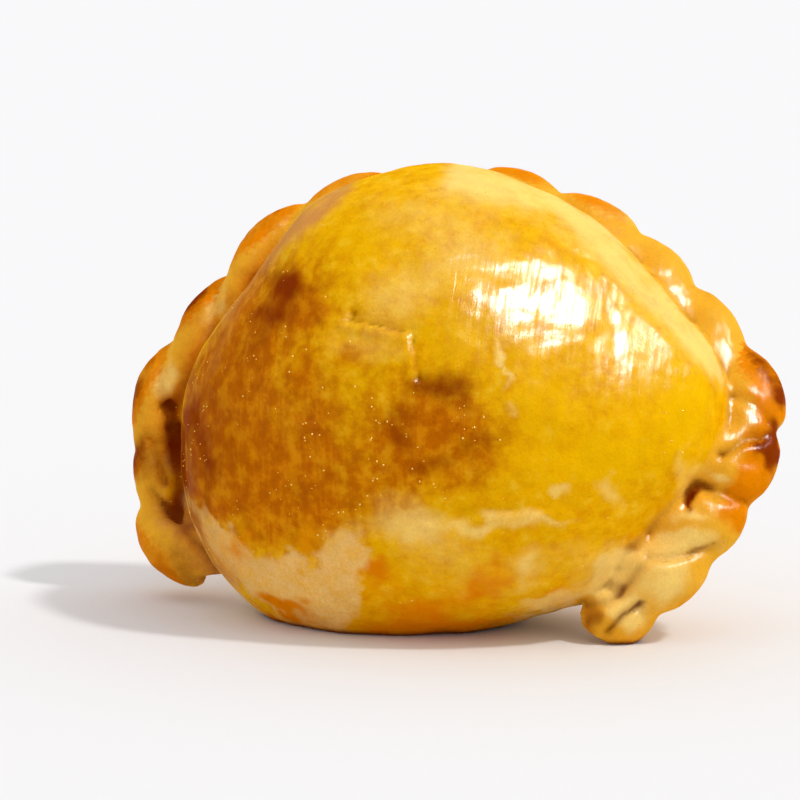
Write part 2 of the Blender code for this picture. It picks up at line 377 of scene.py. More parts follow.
pleat = make_pleat()
print("points of one pleat:", len(pleat.data.vertices))

# %% [markdown]
# ## The rope of pleats
#
# Pleats repeat along a line, which is what Geometry Nodes are for. The input is a handful of loose points,
# one for each pleat, that carry a rotation, a size and a lean. The tree puts the pleat on every point, makes
# the copies real, and slides each one's front along the rope by its lean, which gives the rope its twist.
# Noise then pushes them about, so that no two are alike. The twist is mirrored at the top, so the points of
# one half carry a negative size.

# %% Places of the pleats
# Each row: distance along the rope in mm, half length in mm, thickness, reach across the rope, flare away
# from the pocket in degrees, lean away from the top in mm, and how browned its crown is.
PLEATS = (
    (12.0, 8.9, 1.15, 1.00, 8.0, 8.0, 0.6),
    (27.3, 6.8, 0.95, 1.00, 10.0, 8.0, 0.9),
    (38.0, 8.2, 1.05, 1.00, 14.0, 13.0, 1.0),
    (52.4, 8.2, 1.10, 1.00, 4.0, 15.0, 0.8),
    (67.4, 8.4, 1.10, 1.00, 1.0, 15.0, 0.9),
    (81.8, 8.0, 0.95, 1.00, 0.0, 12.0, 0.8),
    (95.3, 7.8, 0.90, 1.00, 0.0, 8.0, 0.5),
    (108.3, 7.8, 0.95, 1.00, 4.0, 10.0, 0.6),
    (121.8, 8.0, 1.00, 1.00, 8.0, 14.0, 0.5),
    (134.2, 7.8, 1.00, 1.00, 8.0, 15.0, 0.2),
    (146.7, 7.8, 1.00, 1.00, 8.0, 15.0, 0.3),
    (160.0, 8.4, 1.05, 1.10, 10.0, 9.0, 1.0),
    (171.0, 7.4, 1.00, 1.35, 10.0, 2.0, 0.5),
    (181.0, 7.2, 0.95, 1.50, 10.0, 5.0, 0.2),
    (190.6, 7.4, 1.00, 1.40, 8.0, 4.0, 0.1),
    (200.0, 6.2, 0.85, 1.20, 6.0, 3.0, 0.2),
)
UNEVENNESS = 1.4 * MM
UNEVENNESS_SIZE = 9.0 * MM
UNEVENNESS_SEED = 3.0


def pleat_points(path):
    """Loose points with the attributes that the tree reads."""
    places, turns, sizes, leans, browned = [], [], [], [], []
    for place, half_length, thickness, reach, flare, lean, browning in PLEATS:
        point, along, outward, forward = path.frame(place * MM)
        from_top = along if place * MM > path.length / 2 else -along
        tilt = math.radians(flare)
        lengthways = from_top * math.cos(tilt) + outward * math.sin(tilt)
        radial = outward * math.cos(tilt) - from_top * math.sin(tilt)
        side = 1.0 if lengthways.cross(radial).dot(forward) > 0 else -1.0
        axes = Matrix((lengthways * side, radial, forward)).transposed()
        places.append(point)
        turns.append(axes.to_euler())
        sizes.append((side * half_length * MM / PLEAT_HALF_LENGTH, thickness * reach, thickness))
        leans.append(lengthways * lean * MM)
        browned.append(browning)
    data = bpy.data.meshes.new("pleat_points")
    data.from_pydata(places, [], [])
    for name, rows in (("turn", turns), ("size", sizes), ("lean", leans)):
        layer = data.attributes.new(name, "FLOAT_VECTOR", "POINT")
        layer.data.foreach_set("vector", [value for row in rows for value in row])
    obj = add_object("rope_edge", data)
    store_values(obj, "browned", browned)
    return obj


# %% Helpers for node trees
def keep_result(obj, modifier):
    """The object's mesh becomes what the modifier makes of it, and the modifier goes."""
    obj.update_tag()
    bpy.context.view_layer.update()
    graph = bpy.context.evaluated_depsgraph_get()
    data = bpy.data.meshes.new_from_object(obj.evaluated_get(graph))
    obj.modifiers.remove(modifier)
    obj.data = data


def new_geometry_tree(name, inputs):
    """An empty Geometry Nodes tree with a geometry input and named inputs: {name: (socket type, default)}."""
    tree = bpy.data.node_groups.new(name, "GeometryNodeTree")
    tree.interface.new_socket("Geometry", in_out="INPUT", socket_type="NodeSocketGeometry")
    for label, (kind, default) in inputs.items():
        socket = tree.interface.new_socket(label, in_out="INPUT", socket_type=kind)
        if default is not None:
            socket.default_value = default
    tree.interface.new_socket("Geometry", in_out="OUTPUT", socket_type="NodeSocketGeometry")
    return tree


def fill(tree, socket, value):
    """Links another node's output to a socket, or writes a plain value into it."""
    if isinstance(value, bpy.types.NodeSocket):
        tree.links.new(value, socket)
    else:
        socket.default_value = value


def add_node(tree, kind, **settings):
    """Adds a node. A setting is one of its properties, or else the name of an input socket to fill."""
    made = tree.nodes.new(kind)
    for name, value in settings.items():
        if hasattr(made, name):
            setattr(made, name, value)
        else:
            fill(tree, made.inputs[name.replace("_", " ")], value)
    return made


def math_node(tree, operation, first, second=0.0):
    made = add_node(tree, "ShaderNodeMath", operation=operation)
    fill(tree, made.inputs[0], first)
    fill(tree, made.inputs[1], second)
    return made.outputs[0]


def scaled_vector(tree, vector, scale):
    made = add_node(tree, "ShaderNodeVectorMath", operation="SCALE", Scale=scale)
    tree.links.new(vector, made.inputs[0])
    return made.outputs["Vector"]


def read_attribute(tree, name, kind="FLOAT_VECTOR"):
    return add_node(tree, "GeometryNodeInputNamedAttribute", data_type=kind, Name=name).outputs["Attribute"]


def finish_tree(tree, geometry, material):
    """Gives the geometry its material and sends it out of the tree."""
    finished = add_node(tree, "GeometryNodeSetMaterial", Geometry=geometry, Material=material)
    end = add_node(tree, "NodeGroupOutput")
    tree.links.new(finished.outputs["Geometry"], end.inputs["Geometry"])


def run_geometry_tree(obj, tree, values):
    """Runs the tree on the object with these values for its named inputs."""
    modifier = obj.modifiers.new(tree.name, "NODES")
    modifier.node_group = tree
    for item in tree.interface.items_tree:
        if item.name in values:
            modifier[item.identifier] = values[item.name]
    keep_result(obj, modifier)


# %% The tree that lays the rope
def rope_tree():
    tree = new_geometry_tree("lay_pleats", {
        "Pleat": ("NodeSocketObject", None),
        "Unevenness": ("NodeSocketFloat", UNEVENNESS),
        "Unevenness Size": ("NodeSocketFloat", UNEVENNESS_SIZE),
        "Seed": ("NodeSocketFloat", UNEVENNESS_SEED),
        "Material": ("NodeSocketMaterial", None),
    })
    start = add_node(tree, "NodeGroupInput")
    shape = add_node(tree, "GeometryNodeObjectInfo", Object=start.outputs["Pleat"], As_Instance=True)
    laid = add_node(
        tree,
        "GeometryNodeInstanceOnPoints",
        Points=start.outputs["Geometry"],
        Instance=shape.outputs["Geometry"],
        Rotation=read_attribute(tree, "turn"),
        Scale=read_attribute(tree, "size"),
    )
    real = add_node(tree, "GeometryNodeRealizeInstances", Geometry=laid.outputs["Instances"])
    slide = scaled_vector(tree, read_attribute(tree, "lean"), read_attribute(tree, "turned", "FLOAT"))
    leaning = add_node(tree, "GeometryNodeSetPosition", Geometry=real.outputs["Geometry"], Offset=slide)
    lumps = add_node(
        tree,
        "ShaderNodeTexNoise",
        noise_dimensions="4D",
        W=start.outputs["Seed"],
        Scale=math_node(tree, "DIVIDE", 1.0, start.outputs["Unevenness Size"]),
        Detail=2.0,
    )
    centred = add_node(tree, "ShaderNodeVectorMath", operation="SUBTRACT")
    tree.links.new(lumps.outputs["Color"], centred.inputs[0])
    centred.inputs[1].default_value = (0.5, 0.5, 0.5)
    push = scaled_vector(tree, centred.outputs["Vector"], start.outputs["Unevenness"])
    moved = add_node(tree, "GeometryNodeSetPosition", Geometry=leaning.outputs["Geometry"], Offset=push)
    finish_tree(tree, moved.outputs["Geometry"], start.outputs["Material"])
    return tree


crust_finish = bpy.data.materials.new("crust")
rope_edge = pleat_points(rope)
run_geometry_tree(rope_edge, rope_tree(), {
    "Pleat": pleat,
    "Unevenness": UNEVENNESS,
    "Unevenness Size": UNEVENNESS_SIZE,
    "Seed": UNEVENNESS_SEED,
    "Material": crust_finish,
})
print("rope points:", len(rope_edge.data.vertices))

# %% [markdown]
# ## One skin of dough
#
# Pocket, web and pleats are still separate shells that pass through each other. Real dough has one skin,
# with soft valleys where folds meet. A voxel remesh wraps everything in a new even net, and a few rounds of
# smoothing melt its steps. An even net is also what the fine relief needs, since every point can move.

# %% Fuse and smooth
SKIN_VOXEL = 0.56 * MM
SMOOTH_ROUNDS = 3
SMOOTH_SHARE = 0.5


def fuse(parts, name):
    """All parts as one closed skin. The parts are used up."""
    mesh = bmesh.new()
    for part in parts:
        mesh.from_mesh(part.data)
    joined = mesh_object(name, mesh)
    for part in parts:
        bpy.data.objects.remove(part, do_unlink=True)
    wrap = joined.modifiers.new("wrap", "REMESH")
    wrap.mode = "VOXEL"
    wrap.voxel_size = SKIN_VOXEL
    keep_result(joined, wrap)
    return joined


class Skin:
    """The crust's points and directions as arrays, in metres from the middle."""

    def __init__(self, obj):
        self.obj = obj
        data = obj.data
        self.points = np.empty(len(data.vertices) * 3)
        data.vertices.foreach_get("co", self.points)
        self.points = self.points.reshape(-1, 3)
        pairs = np.empty(len(data.edges) * 2, int)
        data.edges.foreach_get("vertices", pairs)
        self.pairs = pairs.reshape(-1, 2)
        self.degree = np.bincount(self.pairs.ravel(), minlength=len(self.points)).astype(float)

    def spread(self, values):
        """The average of each point's neighbours."""
        one, other = self.pairs[:, 0], self.pairs[:, 1]
        total = np.zeros((len(self.points), values.shape[1]))
        for k in range(values.shape[1]):
            total[:, k] += np.bincount(one, values[other, k], minlength=len(self.points))
            total[:, k] += np.bincount(other, values[one, k], minlength=len(self.points))
        return total / self.degree[:, None]

    def smooth(self, rounds, share):
        """Share is one number for the whole skin, or a column with one for each point."""
        for _ in range(rounds):
            self.points += (self.spread(self.points) - self.points) * share

    def write(self):
        self.obj.data.vertices.foreach_set("co", self.points.ravel())
        self.obj.data.update()

    def normals(self):
        self.write()
        flat = np.empty(len(self.points) * 3)
        self.obj.data.vertex_normals.foreach_get("vector", flat)
        return flat.reshape(-1, 3)


def crown_tree(obj):
    """The pleats' points in a search tree, with each point's crown browning."""
    tree = KDTree(len(obj.data.vertices))
    for i, vertex in enumerate(obj.data.vertices):
        tree.insert(vertex.co, i)
    tree.balance()
    return tree, stored_values(obj, "crown") * stored_values(obj, "browned")


pleat_tree, pleat_crowns = crown_tree(rope_edge)
crust = fuse([pocket, web, rope_edge], "crust")
bpy.data.objects.remove(pleat, do_unlink=True)
skin = Skin(crust)
skin.smooth(SMOOTH_ROUNDS, SMOOTH_SHARE)
print("skin points:", len(skin.points))

# %% [markdown]
# ## Marks placed as they are seen
#
# Folds, dents and stains on the belly belong to this one piece, so they are placed one by one: so many
# millimetres across and up in the camera's view, measured from the middle. Each mark is an oval that fades
# at its rim. A table of such ovals describes a stain, a patch of painted shade or a patch of painted sheen,
# and the same helper carves a dent.

# %% Ovals in the camera's view
def seen(points):
    """Where points are seen from the camera: across and up, in mm at the middle's distance."""
    depth = points @ np.array(view_away)
    share = VIEW_DISTANCE / (VIEW_DISTANCE + depth)
    across = (points @ np.array(view_across)) * share / MM
    up = (points @ np.array(view_up)) * share / MM
    return across, up


def oval(across, up, mark):
    """1 in the middle of a mark and 0 far outside. A mark: across, up, half width, half height, turn."""
    x, z, half_width, half_height, turn = mark
    angle = math.radians(turn)
    dx, dz = across - x, up - z
    along = (dx * math.cos(angle) + dz * math.sin(angle)) / half_width
    aside = (dz * math.cos(angle) - dx * math.sin(angle)) / half_height
    return np.exp(-(along**2 + aside**2))


def ovals(across, up, marks):
    """Many marks together, where overlapping ones don't add up past the strongest by much."""
    rest = np.ones_like(across)
    for *place, strength in marks:
        rest = rest * (1 - np.clip(oval(across, up, place) * strength, 0, 1))
    return 1 - rest


def polyline_distance(across, up, line):
    """Distance in mm from a line of seen points, and the side on which each point lies."""
    nearest = np.full_like(across, 1e9)
    side = np.zeros_like(across)
    for (x0, z0), (x1, z1) in zip(line, line[1:]):
        run_x, run_z = x1 - x0, z1 - z0
        share = np.clip(((across - x0) * run_x + (up - z0) * run_z) / (run_x**2 + run_z**2), 0, 1)
        dx, dz = across - x0 - share * run_x, up - z0 - share * run_z
        distance = np.hypot(dx, dz)
        closer = distance < nearest
        nearest = np.where(closer, distance, nearest)
        side = np.where(closer, np.sign(run_x * dz - run_z * dx), side)
    return nearest, side


def waves(points, size, octaves=3, offset=0.0):
    """Smooth noise between about -1 and 1, in lumps of a size in metres."""
    shift = Vector((offset, offset * 0.7, -offset))
    return np.array([
        noise.fractal(Vector(p) / size + shift, 1.0, 2.0, octaves, noise_basis="PERLIN_ORIGINAL")
        for p in points
    ])


def step(values, low, high):
    share = np.clip((values - low) / (high - low), 0, 1)
    return share * share * (3 - 2 * share)


# %% [markdown]
# ## Relief in the crust
#
# The belly isn't a perfect dome. The crust dried into a crease that runs in from the left and turns down, the
# dough is slack above the fold, juice broke through at the right, and thumbs left pockets in the pleats. Each
# is a small push along the surface's own direction. Dents are ovals, and folds follow a line. Only points
# that face the camera move, so that a dent in the belly doesn't dent the back as well. Some pleats slumped in
# the oven, so before the carving we smooth the skin there some more.

# %% Carve the marks
# Each row: across, up, half width, half height, turn, and height in mm.
DENTS = (
    (5, 17.2, 13, 2.6, 4, -1),
    (-14.2, 49.6, 1, 1.2, 0, -0.7),
    (-19, 49, 1.3, 2.6, 25, 0.5),
    (40.3, 20, 0.8, 2, -25, -1.2),
    (-44.5, 34.3, 1.6, 1.2, 0, -0.9),
    (34, 11.8, 4.5, 1.3, 8, -0.7),
    (29, 6.5, 1.3, 4, -30, -0.6),
    (-43, 10.5, 5.5, 1, -25, -0.6),
    (-27, 38.5, 3.2, 0.8, 42, 0.35),
    (16, 12, 4.5, 3.5, 0, -0.5),
    (28, 46.5, 1.2, 9, 8, -0.35),
    (23, 47.5, 2, 7, 6, 0.30),
    (11, 16.3, 9, 0.9, 4, 0.55),
    (-4, 15.3, 5, 1, -12, 0.5),
    (50.5, 25.5, 3, 1.4, -10, -0.6),
    (45, 21.5, 4, 0.9, -12, -0.6),
)
# Each fold: depth, half width and painted shade, then the seen points that its line runs through, in mm.
FOLDS = (
    (1.3, 1.2, 1, ((-42.9, 30.5), (-42.6, 25.8), (-42.2, 21), (-42.6, 17.5))),
    (0.4, 0.8, 0.35, ((-43.5, 34.8), (-43.1, 31.5))),
    (0.6, 0.8, 0.2, ((-47.2, 29.3), (-46, 28), (-45.2, 25.4), (-44.4, 21.7))),
    (0.6, 0.8, 0.25, ((-46.5, 20.9), (-45.2, 19.3), (-43.6, 17.4), (-41, 14.5), (-36, 7.7))),
    (0.7, 0.7, 0.55, ((32.3, 2.6), (29.4, 0.7), (27, -2))),
    (0.5, 0.8, 0.30, ((32.1, 8.2), (29.1, 4), (25.8, 2.5), (23.3, 2.2))),
    (0.7, 0.9, 0.15, ((33.5, 9.9), (37.3, 10.2), (41.4, 11.1), (44.4, 12))),
    (0.5, 0.9, 0.15, ((42.5, 21.4), (44.6, 20.3), (49.6, 19))),
    (0.5, 0.9, 0.35, ((45.7, 26.7), (49.3, 29), (52, 29.5))),
    (0.4, 0.9, 0.15, ((47.6, 36.3), (50.9, 34.6), (53, 32.2))),
)
# Beside each fold the dough stands up a little: by this share of its depth, so many half widths away.
FOLD_LIP = 0.2
FOLD_LIP_PLACE = 2.2
CREASE = ((-15.0, 48.2), (-10.5, 47.6), (-6.2, 46.4), (-4.8, 47.0), (-4.2, 43.5), (-3.6, 39.0))
CREASE_HALF_WIDTH = 0.6
CREASE_DEPTH = 0.35
CREASE_LIP = 0.40
CREASE_LIP_PLACE = 1.0
CREASE_LIP_HALF_WIDTH = 0.8
# Where the pleats slumped in the oven: across, up, half width, half height, turn, strength.
SLACK = (
    (51, 37, 7, 12, 15, 0.9),
    (47, 22, 9, 9, 0, 1),
    (38, 9, 9, 9, 0, 0.8),
    (33, 55, 14, 5, -45, 0.8),
    (-44, 30, 4, 14, 0, 0.5),
)
SLACK_ROUNDS = 14
SLACK_SHARE = 0.7
# Each row: across, up, half width, half height, turn, strength. These are bare, unwashed dough.
BARE = (
    (-24.5, 7.2, 5.5, 3.4, -20, 1),
    (-15.5, 8.8, 3.6, 5.6, 0, 1.3),
    (-20, 1.2, 7, 4.6, 0, 1.3),
    (-27, 4, 6, 2.6, -30, 1),
    (-31.5, 8.5, 5, 2.4, -42, 1.2),
    (-36.5, 13.5, 5.5, 1.8, -55, 1.3),
    (-40.5, 19.5, 4.5, 1.2, -72, 1.2),
    (29.5, 6.8, 3.6, 2.5, 35, 1.4),
    (20.5, 1.9, 9, 1.4, 10, 0.9),
)
PUCKER_SIZE = 2.4 * MM
PUCKER_HEIGHT = 0.16 * MM
PEEL_SIZE = 6.0 * MM
PEEL_HEIGHT = 0.22 * MM


def carve(surface):
    slack = ovals(*seen(surface.points), SLACK)
    surface.smooth(SLACK_ROUNDS, slack[:, None] * SLACK_SHARE)
    normals = surface.normals()
    across, up = seen(surface.points)
    facing = step(-(normals @ np.array(view_away)), 0.05, 0.35)
    height = np.zeros(len(surface.points))
    for *place, push in DENTS:
        height += oval(across, up, place) * push * MM
    distance, side = polyline_distance(across, up, CREASE)
    groove = np.exp(-((distance / CREASE_HALF_WIDTH) ** 2))
    lip = np.exp(-(((distance - CREASE_LIP_PLACE) / CREASE_LIP_HALF_WIDTH) ** 2)) * (side < 0)
    height += (CREASE_LIP * lip - CREASE_DEPTH * groove) * MM
    for depth, half_width, _, line in FOLDS:
        distance, _ = polyline_distance(across, up, line)
        height -= depth * np.exp(-((distance / half_width) ** 2)) * MM
        height += depth * FOLD_LIP * np.exp(-((distance / half_width - FOLD_LIP_PLACE) ** 2)) * MM
    height *= facing
    height += PEEL_HEIGHT * waves(surface.points, PEEL_SIZE, 3)
    bare = ovals(across, up, BARE) * facing
    height += PUCKER_HEIGHT * (0.3 + bare) * waves(surface.points, PUCKER_SIZE, 3, 5.0)
    surface.points += normals * height[:, None]


carve(skin)
print("marks carved:", len(DENTS) + len(FOLDS) + 1)

# %% [markdown]
# ## Stand it on the table
#
# The sole is pressed flat by the weight, so every point below the table is lifted to it. Then the skin moves
# from the layout's middle to its place in the measured box.

# %% Flatten the sole
def stand(surface):
    surface.points[:, 2] = np.maximum(surface.points[:, 2], 0.0)
    surface.write()


stand(skin)
flat_points = int((skin.points[:, 2] <= 0.0).sum())
print("points on the table:", flat_points)

# %% [markdown]
# ## What is where on the crust
#
# The colours follow the baking. Egg wash was brushed over the belly and some of the rope, and turned golden.
# Where it pooled or the oven was hot it went amber and brown. Where the brush missed, the dough stayed pale
# and matt. Thin edges of the pleats browned first, and the sole and back toasted on the tray. Some colour is
# painted light: valleys and fold lines get painted shade, the sole's lowest edge and a band by the left rope
# are darkened partly as painted shade, and pale bands on the belly's rims and by the highlight are painted
# sheen. Each of these is stored on the points as a number from 0 to 1. The material mixes colours by those
# numbers, which keeps paint and shape together when the piece is turned. Plain ovals would look like rubber
# stamps, so smooth noise shifts the places that the tables are read at.

# %% Tables of browning, pale dough and painted light
# Rows as in the tables above: across, up, half width, half height, turn, strength.
SCORCHED_AND_SHADED = (
    (0.6, 37.8, 4.4, 2.9, 0, 0.66),
    (-1, 38.2, 2.6, 1.8, 0, 0.30),
    (3.8, 34.8, 1.8, 3, 0, 0.42),
    (-6.6, 30.2, 4, 5.2, 0, 0.36),
    (-7.6, 28.8, 1.4, 1.6, 0, 0.30),
    (6.4, 28.8, 3.2, 3, 0, 0.52),
    (-0.8, 25.2, 5, 2.2, 0, 0.46),
    (1.8, 31.6, 0.6, 0.5, 0, 0.6),
    (-0.6, 31.2, 0.5, 0.5, 0, 0.5),
    # This row darkens a band down the belly's left rim by the rope: partly browning, partly painted shade.
    (-40.5, 27, 4, 15, 0, 0.85),
    (-33, 31, 5, 12, 0, 0.28),
    (-49, 25.8, 2.8, 3.6, 0, 0.75),
    (-49, 36.5, 2, 5, 0, 0.40),
    (-40.5, 50.5, 2.4, 5.5, -25, 0.35),
    (-41, 8, 6.5, 2.6, -30, 0.40),
    (24.8, 0, 1.9, 3.2, -15, 0.75),
    (-25, 54, 2.8, 3.6, -20, 0.90),
    (-26.8, 49, 2.4, 4.6, -15, 0.60),
    (-21.4, 53.6, 2.2, 2.4, 0, 0.35),
    (-30.5, 44, 4, 6, -20, 0.30),
    (-24, 20.5, 8, 3.6, 10, 0.25),
    (53, 27.4, 1.7, 4.2, 8, 1.5),
    (55, 36, 1.6, 1.8, 0, 0.8),
    (40.3, 20.2, 0.9, 1.9, -25, 1),
)
AMBER = (
    (-26, 28, 17, 18, 0, 1),
    (-34, 36, 8, 13, -15, 1),
    (-36, 24, 8, 9, 0, 1),
    (-24, 18, 10, 6, 0, 0.9),
    (-10, 24, 9, 7, 0, 0.6),
    (-0.5, 31, 9.5, 9.5, 0, 0.90),
    (5.5, 24.5, 4.5, 3.5, 0, 0.60),
    (-26.5, 50, 7, 9, -15, 0.9),
    (-28, 22, 3, 7, 0, 0.5),
    (52, 33, 4, 8, 0, 0.5),
)
ORANGE = (
    (-6, 1, 7, 4.2, 0, 1),
    (5, -1, 8, 1.6, 6, 0.8),
    (6.5, 4.5, 5, 3, 20, 0.5),
    (8.5, 7.5, 5, 2.2, 62, 0.6),
    (-10.2, 7.6, 2.8, 1.9, 0, 0.8),
    (-25.2, 2, 3.8, 1.7, -15, 1.2),
    (18, 3.6, 5, 1.6, 8, 0.5),
    (-32.5, 11.6, 2.4, 4.5, -40, 0.6),
    (-21, 12, 4, 2.5, 0, 0.6),
    (50, 21, 3.6, 4.4, 0, 1),
    (48.5, 17, 2, 2.6, 0, 0.9),
    (52.5, 32, 3.4, 5, 0, 0.9),
    (40.5, 1.5, 6, 1.6, 35, 0.6),
)
# Most rows are pale, thinly washed dough. The narrow upright rows at 10.1 and 25.8 across are brush streaks
# painted pale as the highlight shows them, and the rows at -12, -7 and 5 across lighten the belly round the
# highlight: painted highlight and sheen. The row at 30 across, 1.5 up lightens the tail's downward flap:
# partly its own cream, partly painted light.
PALE_AND_SHEEN_PATCHES = (
    (-3, 66, 14, 6, 0, 0.40),
    (-4, 15.6, 6.5, 3.2, -10, 0.75),
    (6.5, 15.2, 5, 1.1, 14, 0.75),
    (16, 16.1, 6.5, 1.1, 4, 0.75),
    (1, 10, 11, 5, 0, 0.35),
    (22, 10, 9, 5, 0, 0.30),
    (7, 4.5, 8, 3, 0, 0.25),
    (27.3, 7.3, 4.2, 2.4, 32, 2),
    (31, 9.2, 2, 1.4, 40, 1.5),
    (18, 2.6, 8, 0.8, 14, 0.8),
    (-17, 12.6, 5, 2.6, 20, 0.40),
    (-9, 18, 6, 3, 30, 0.35),
    (14.5, 9, 2.4, 3.2, 0, 0.7),
    (10.1, 41.5, 0.8, 4.2, 2, 0.9),
    (25.8, 43.2, 0.8, 4.4, -6, 0.9),
    (30, 1.5, 3, 3, 0, 1.6),
    (19.6, 21.2, 1.6, 1.6, 0, 0.7),
    (27.5, 20.8, 1.4, 2.4, 0, 0.6),
    (-9.8, 24.3, 1.8, 1.3, 0, 0.4),
    (10.8, 33.2, 1.6, 1.4, 0, 0.5),
    (-7, 52, 9, 5, 0, 0.5),
    (-12, 44, 8, 4, 0, 0.4),
    (5, 58, 9, 6, 0, 0.5),
    (39.5, 24, 2.2, 4, -10, 0.5),
    (45, 23.4, 2.6, 1.2, -10, 1),
    (40.5, 17.5, 4, 1.6, -10, 0.9),
    (38.5, 12, 5.5, 2.4, 0, 1.4),
    (36.5, 6.5, 5, 3.4, 0, 1.2),
    (-44.6, 38, 1.8, 3, 0, 0.9),
    (-43.6, 27, 1.6, 5, 0, 0.8),
    (-31.5, 63, 1.6, 5, -30, 0.7),
    (-37, 51, 1.6, 5, -20, 0.8),
    (28, 65.5, 4, 2, -35, 0.6),
)
VIVID = (
    (27, 26.5, 8, 5.5, 0, 1),
    (40, 34, 7, 9, 0, 0.8),
    (-12, 62, 8, 6, 20, 0.7),
    (34, 40, 6, 7, -20, 0.6),
    (16, 34, 8, 8, 0, 0.7),
    (16, 22, 8, 5, 0, 0.6),
)
BLUSHED = (
    (-39.8, 13.6, 7, 3.2, -48, 1),
    (-45, 17, 3, 2.4, 0, 0.6),
    (-36.5, 7.8, 4.5, 2.2, -30, 1),
)
# Where the film of egg is thick enough to shine. Elsewhere it shines by the share below the table.
GLOSSY = (
    (16, 50.5, 14, 11, 0, 1),
    (33, 47.5, 9, 9, -30, 0.9),
    (-6, 52, 12, 7, 0, 0.45),
    (9, 42, 5, 9, 0, 0.5),
    (-24, 36, 9, 12, 0, 0.35),
    (50.5, 33.5, 4, 3, 0, 0.6),
    (47, 45, 3, 4, 0, 0.3),
    (41, 19, 4, 4, 0, 0.3),
)
GLOSS_ELSEWHERE = 0.22
# The rims of the belly as they are seen: on the left from the top down, and on the right from the top down.
# Along each, a band is painted paler: partly thin wash, partly painted sheen.
LEFT_RIM = ((-15.7, 70.5), (-26.6, 60.0), (-32.0, 51.0), (-36.2, 43.0), (-38.8, 36.5))
LEFT_RIM_WIDTH = 2.6
RIGHT_RIM = ((3.7, 72.0), (18.4, 67.0), (28.3, 59.5), (37.0, 50.5), (46.5, 39.5))
RIGHT_RIM_WIDTH = 3.2
# Noise shifts the marks by up to this many mm, so that no stain is a plain oval.
MARK_WARP = 2.2
MARK_WARP_SIZE = 5.0 * MM
TOASTED_BELOW = 3.2 * MM


def cavity(surface, rounds=14):
    """How hollow the skin is at each point: above 0 in valleys and below 0 on ridges, in mm."""
    normals = surface.normals()
    blurred = surface.points.copy()
    for _ in range(rounds):
        blurred += (surface.spread(blurred) - blurred) * 0.7
    return ((blurred - surface.points) * normals).sum(axis=1) / MM


def fold_shade(across, up):
    """How much painted shade each point gets for lying in a fold."""
    lit = np.ones_like(across)
    for _, half_width, shade, line in FOLDS:
        distance, _ = polyline_distance(across, up, line)
        lit = lit * (1 - shade * np.exp(-((distance / half_width) ** 2)))
    return 1 - lit


